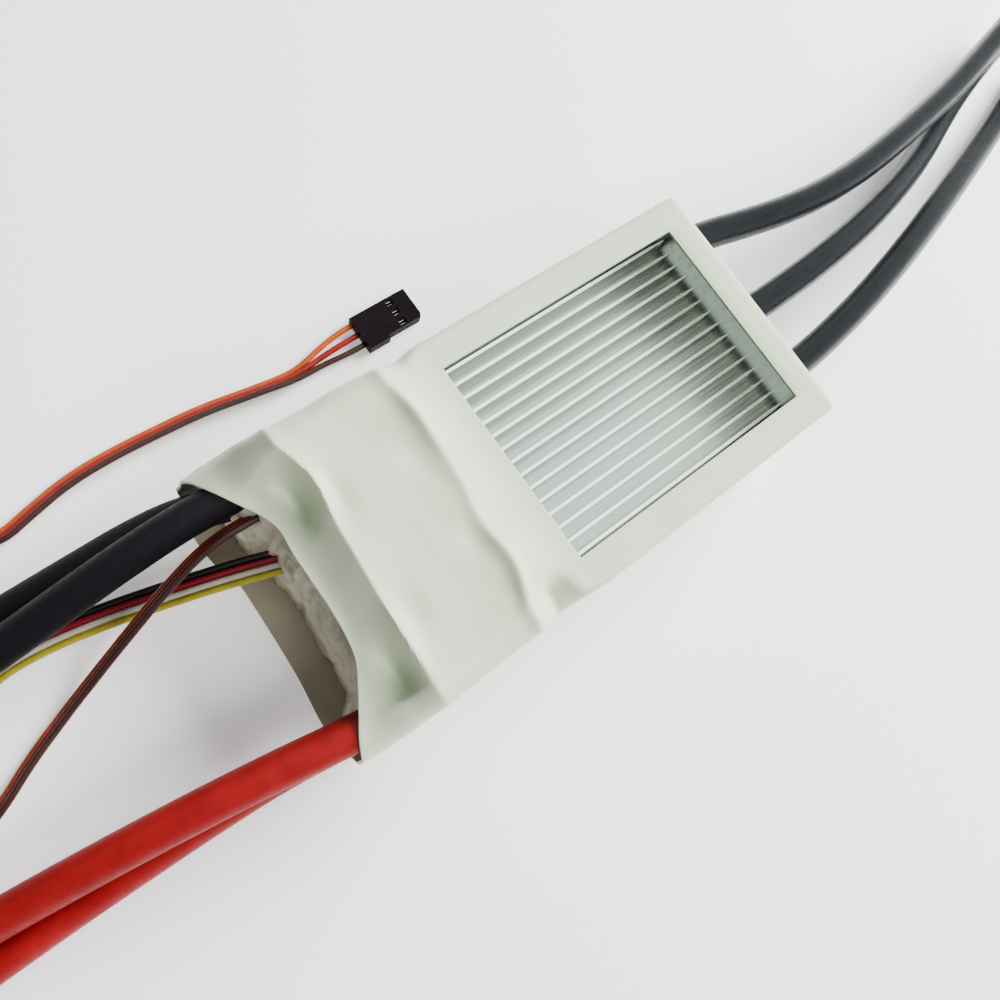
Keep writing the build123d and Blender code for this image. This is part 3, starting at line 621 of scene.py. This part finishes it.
def shrink_plastic(name, color, rough):
    """Heat-shrink tubing: satin, with a fine calendered grain and slow colour drift."""
    s = Shade(name, color, rough, Specular_IOR_Level=0.45)
    cloud = s.noise(55, 4, 0.55)
    s.color(cloud, [(0.3, tint(color, 0.95)), (0.7, tint(color, 1.03))])
    s.rough(s.noise(420, 4, 0.6), rough - 0.05, rough + 0.07)
    s.bump(s.noise(3800, 2, 0.5), 0.16, 0.00003)
    s.bump(s.noise(120, 3, 0.5), 0.12, 0.0004)
    return s.mat


SLEEVE = shrink_plastic("heat_shrink_white", (0.585, 0.68, 0.475), 0.36)
INSIDE = shrink_plastic("heat_shrink_inside", (0.30, 0.265, 0.19), 0.62)

sleeve = new_object("heat_shrink_skin", build_sleeve(), SLEEVE, INSIDE)
shell = sleeve.modifiers.new("wall", "SOLIDIFY")
shell.thickness = 0.6 * MM
shell.offset = -1
shell.material_offset = 1
shell.material_offset_rim = 0
soft = sleeve.modifiers.new("edge", "BEVEL")
soft.width = 0.14 * MM
soft.segments = 2
soft.limit_method = "ANGLE"
soft.angle_limit = math.radians(60)
skin = final_mesh(sleeve)
sleeve.modifiers.clear()
sleeve.data = skin
sleeve.data.polygons.foreach_set("use_smooth", [True] * len(sleeve.data.polygons))
sleeve.data.set_sharp_from_angle(angle=math.radians(50))
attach(sleeve, "root")
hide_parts("heat_shrink_sleeve")

# ---------------------------------------------------------------- end seal
SEAL_Y = (-26.3, 30.0)
SEAL_BACK_X = -43.0
SEAL_BACK_DROP = 5.0  # its hidden top falls away below the folds of the sleeve
SEAL_FOOT = [(-28, -57), (-22, -56.4), (-18.8, -55.6), (-17.1, -53.4), (-11.3, -52.5), (-6.2, -52.4),
             (-0.2, -51.8), (4.5, -51.7), (10.2, -52.4), (16, -53.5), (22, -54), (31, -54.5)]


def build_seal():
    """A lumpy wall of silicone under the lip, with a plain back and closed edges."""
    across, down = 110, 44
    verts = []
    for back in (False, True):
        for i in range(across + 1):
            y = SEAL_Y[0] + (SEAL_Y[1] - SEAL_Y[0]) * i / across
            lip, lip_z, foot = smooth_at(y, LIP_X), smooth_at(y, LIP_Z), smooth_at(y, SEAL_FOOT)
            droop = 4 * max(0.0, (y - 25) / 5) ** 2 + 3 * max(0.0, (-22 - y) / 4.3) ** 2
            for j in range(down + 1):
                t = j / down
                top = Vector((lip + 1.6, y, lip_z - 0.65 - droop))
                foot_point = Vector((foot, y, 0.75))
                if back:
                    high = top.z - SEAL_BACK_DROP
                    z = high + (foot_point.z - high) * t
                    verts.append((SEAL_BACK_X * MM, y * MM, z * MM))
                    continue
                p = top.lerp(foot_point, t)
                belly = 1.3 * math.sin(math.pi * min(t * 1.15, 1)) ** 0.8
                lump = noise.noise(Vector((y * 0.20, p.z * 0.16, 1.7)))
                crease = abs(noise.noise(Vector((y * 0.42 + 0.6 * lump, p.z * 0.30, 7.7))))
                fine = noise.noise(Vector((y * 1.1, p.z * 0.9, 4.2)))
                p.x -= belly * (0.75 + 0.9 * lump) - 1.5 * crease + 0.16 * fine
                p.z += 0.5 * lump * math.sin(math.pi * t)
                verts.append((p.x * MM, p.y * MM, max(p.z, 0.66) * MM))
    rows, cols = across + 1, down + 1
    faces = []

    def at(back, i, j):
        return back * rows * cols + i * cols + j

    for i in range(across):
        for j in range(down):
            faces.append((at(0, i, j), at(0, i, j + 1), at(0, i + 1, j + 1), at(0, i + 1, j)))
            faces.append((at(1, i, j), at(1, i + 1, j), at(1, i + 1, j + 1), at(1, i, j + 1)))
        faces.append((at(0, i, 0), at(0, i + 1, 0), at(1, i + 1, 0), at(1, i, 0)))
        faces.append((at(0, i, down), at(1, i, down), at(1, i + 1, down), at(0, i + 1, down)))
    for j in range(down):
        faces.append((at(0, 0, j), at(1, 0, j), at(1, 0, j + 1), at(0, 0, j + 1)))
        faces.append((at(0, across, j), at(0, across, j + 1), at(1, across, j + 1), at(1, across, j)))
    mesh = bpy.data.meshes.new("end_seal_silicone")
    mesh.from_pydata(verts, [], faces)
    mesh.polygons.foreach_set("use_smooth", [True] * len(faces))
    mesh.update()
    return mesh


seal_shade = Shade("seal_silicone", (0.62, 0.62, 0.47), 0.5, Specular_IOR_Level=0.45)
seal_shade.color(seal_shade.noise(160, 5, 0.65), [(0.3, (0.47, 0.465, 0.34)), (0.72, (0.76, 0.77, 0.60))])
seal_shade.rough(seal_shade.noise(500, 4), 0.38, 0.66)
seal_shade.bump(seal_shade.noise(900, 4, 0.6), 0.35, 0.0002)
seal = new_object("end_seal_silicone", build_seal(), seal_shade.mat)
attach(seal, "root")
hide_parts("end_seal")


# ---------------------------------------------------------------- CAD nodes' own finishes
def metal(name, color, rough, grain=None):
    s = Shade(name, color, rough, Metallic=1.0)
    s.color(s.noise(300, 4, 0.6), [(0.3, tint(color, 0.9)), (0.7, tint(color, 1.06))])
    lines = s.noise(1400, 3, 0.6, stretch=grain)
    s.rough(lines, rough - 0.06, rough + 0.08)
    s.bump(lines, 0.12, 0.00004)
    return s.mat


def moulded(name, color, rough, scale=1800, shine=0.25):
    s = Shade(name, color, rough, Specular_IOR_Level=shine)
    s.color(s.noise(400, 4, 0.6), [(0.3, tint(color, 0.8)), (0.7, tint(color, 1.2))])
    s.rough(s.noise(900, 3), rough - 0.08, rough + 0.1)
    s.bump(s.noise(scale, 3), 0.25, 0.00004)
    return s.mat


FIN_TOP = 24.2 * MM


def milled_aluminium():
    """Bare aluminium: dull milled channels, and fin tops painted near white as a painted highlight of the
    light from above.
    """
    s = Shade("heatsink_aluminium", (0.5, 0.53, 0.5), 0.3, Metallic=1.0)
    place = s.node("ShaderNodeSeparateXYZ")
    s.link(s.coords, place.inputs["Vector"])
    # Painted highlight: the base colour turns near white on the fin tops, where the light from above
    # falls.
    painted_top_highlight = s.spread(place.outputs["Z"], 0, 1, FIN_TOP - 0.5 * MM, FIN_TOP - 0.1 * MM)
    lines = s.noise(1500, 3, 0.6, stretch=(0.03, 1.0, 1.0))
    dull = s.ramp(lines, [(0.3, (0.31, 0.345, 0.32)), (0.7, (0.40, 0.44, 0.41))])
    mix = s.node("ShaderNodeMix", data_type="RGBA")
    s.link(painted_top_highlight, mix.inputs[0])
    s.link(dull, mix.inputs[6])
    mix.inputs[7].default_value = (0.93, 0.94, 0.92, 1)
    s.link(mix.outputs[2], s.bsdf.inputs["Base Color"])
    s.rough(lines, 0.17, 0.27)
    s.bump(lines, 0.12, 0.00004)
    return s.mat


SLOT_MATERIALS = {
    "aluminium": milled_aluminium(),
    "pad": moulded("thermal_pad_grey", (0.30, 0.33, 0.37), 0.7),
    "chip": moulded("chip_epoxy", (0.02, 0.02, 0.022), 0.45),
    "board": moulded("board_mask", (0.015, 0.07, 0.03), 0.3),
    "copper": metal("bare_copper", (0.86, 0.45, 0.28), 0.3, grain=(0.1, 1, 1)),
    "steel": metal("zinc_steel", (0.62, 0.62, 0.60), 0.3),
    "film": moulded("film_amber", (0.5, 0.28, 0.06), 0.3),
    "foam": moulded("foam_grey", (0.06, 0.06, 0.065), 0.9, 900),
    "can": metal("can_aluminium", (0.5, 0.52, 0.55), 0.35, grain=(0.1, 1, 1)),
    "tinned": metal("tinned_strand", (0.72, 0.72, 0.70), 0.28, grain=(0.12, 1, 1)),
    "plug": moulded("plug_nylon", (0.0055, 0.0034, 0.005), 0.5, shine=0.06),
    "contact": metal("plated_contact", (0.78, 0.60, 0.50), 0.22),
    "lead_servo": LEAD_RED,
    "lead_data": YELLOW,
}
for row in frame["record"]["subparts"]:
    material = SLOT_MATERIALS.get(row["material_slot"])
    if material:
        mesh = nodes[row["node"]].data
        mesh.materials.clear()
        mesh.materials.append(material)

# ---------------------------------------------------------------- camera, light, floor
CAMERA_PLACE = (-57.80, -15.45, 161.10)  # millimetres
CAMERA_TURN = (14.37, -12.21, -36.86)  # degrees about X, Y and Z, from looking straight down

camera_data = bpy.data.cameras.new("camera")
camera_data.lens = 28.8
camera_data.sensor_width = 36
camera_data.clip_start = 0.001
camera = new_object("camera", camera_data)
turn = Euler([math.radians(angle) for angle in CAMERA_TURN]).to_matrix()
camera.matrix_world = Matrix.Translation(Vector(CAMERA_PLACE) * MM) @ turn.to_4x4()
bpy.context.scene.camera = camera

floor_mesh = bpy.data.meshes.new("floor")
floor_mesh.from_pydata([(-3, -3, 0), (3, -3, 0), (3, 3, 0), (-3, 3, 0)], [], [(0, 1, 2, 3)])
paper = Shade("floor_paper", (0.95, 0.95, 0.95), 0.9, Emission_Color=(1, 1, 1, 1), Emission_Strength=0.42)
floor = new_object("floor", floor_mesh, paper.mat)

world = bpy.data.worlds.new("world")
world.use_nodes = True
world.node_tree.nodes["Background"].inputs["Color"].default_value = (1, 1, 1, 1)
world.node_tree.nodes["Background"].inputs["Strength"].default_value = 0.11
bpy.context.scene.world = world


def area_light(name, place, size, power):
    """A square light that faces the origin and leaves no glare of its own."""
    data = bpy.data.lights.new(name, "AREA")
    data.shape = "RECTANGLE"
    data.size = data.size_y = size
    data.energy = power
    obj = new_object(name, data)
    obj.location = place
    obj.rotation_euler = (-Vector(place)).to_track_quat("-Z", "Y").to_euler()
    obj.visible_glossy = False


area_light("key", (0.84, 0.06, 0.42), 0.55, 40)
area_light("top", (0.12, -0.62, 0.66), 0.5, 10)


def reflector(name, corners, color, strength):
    """A glowing panel that shows in reflections only."""
    mesh = bpy.data.meshes.new(name)
    mesh.from_pydata(corners, [], [(0, 1, 2, 3)])
    glow = Shade(name, (0.02, 0.02, 0.02), 0.9, Emission_Color=(*color, 1),
                 Emission_Strength=strength)
    panel = new_object(name, mesh, glow.mat)
    for ray in ("camera", "diffuse", "transmission", "shadow", "volume_scatter"):
        setattr(panel, "visible_" + ray, False)


# A pale panel above the controller, and a brown one beside it beyond the motor end.
OVERHEAD = 0.12
meeting = [(0.101, -0.12, OVERHEAD), (0.097, 0.12, OVERHEAD)]
reflector("panel", [(-0.09, 0.12, OVERHEAD), (-0.09, -0.12, OVERHEAD), *meeting],
          (0.93, 1.0, 0.93), 3.0)
reflector("card", [*reversed(meeting), (0.40, -0.12, OVERHEAD), (0.40, 0.12, OVERHEAD)],
          (1.0, 0.93, 0.58), 0.17)

# Four tall panels all round, so that the metal stays bright from every side.
WALL_AWAY = 1.5
WALL_LOW, WALL_HIGH = 0.1, 1.5
for number in range(4):
    start, stop = ((WALL_AWAY * math.cos(a), WALL_AWAY * math.sin(a))
                   for a in (math.pi / 2 * number, math.pi / 2 * (number + 1)))
    reflector(f"wall_{number}",
              [(*start, WALL_LOW), (*stop, WALL_LOW), (*stop, WALL_HIGH), (*start, WALL_HIGH)],
              (0.96, 1.0, 0.96), 0.75)

bpy.context.view_layer.update()
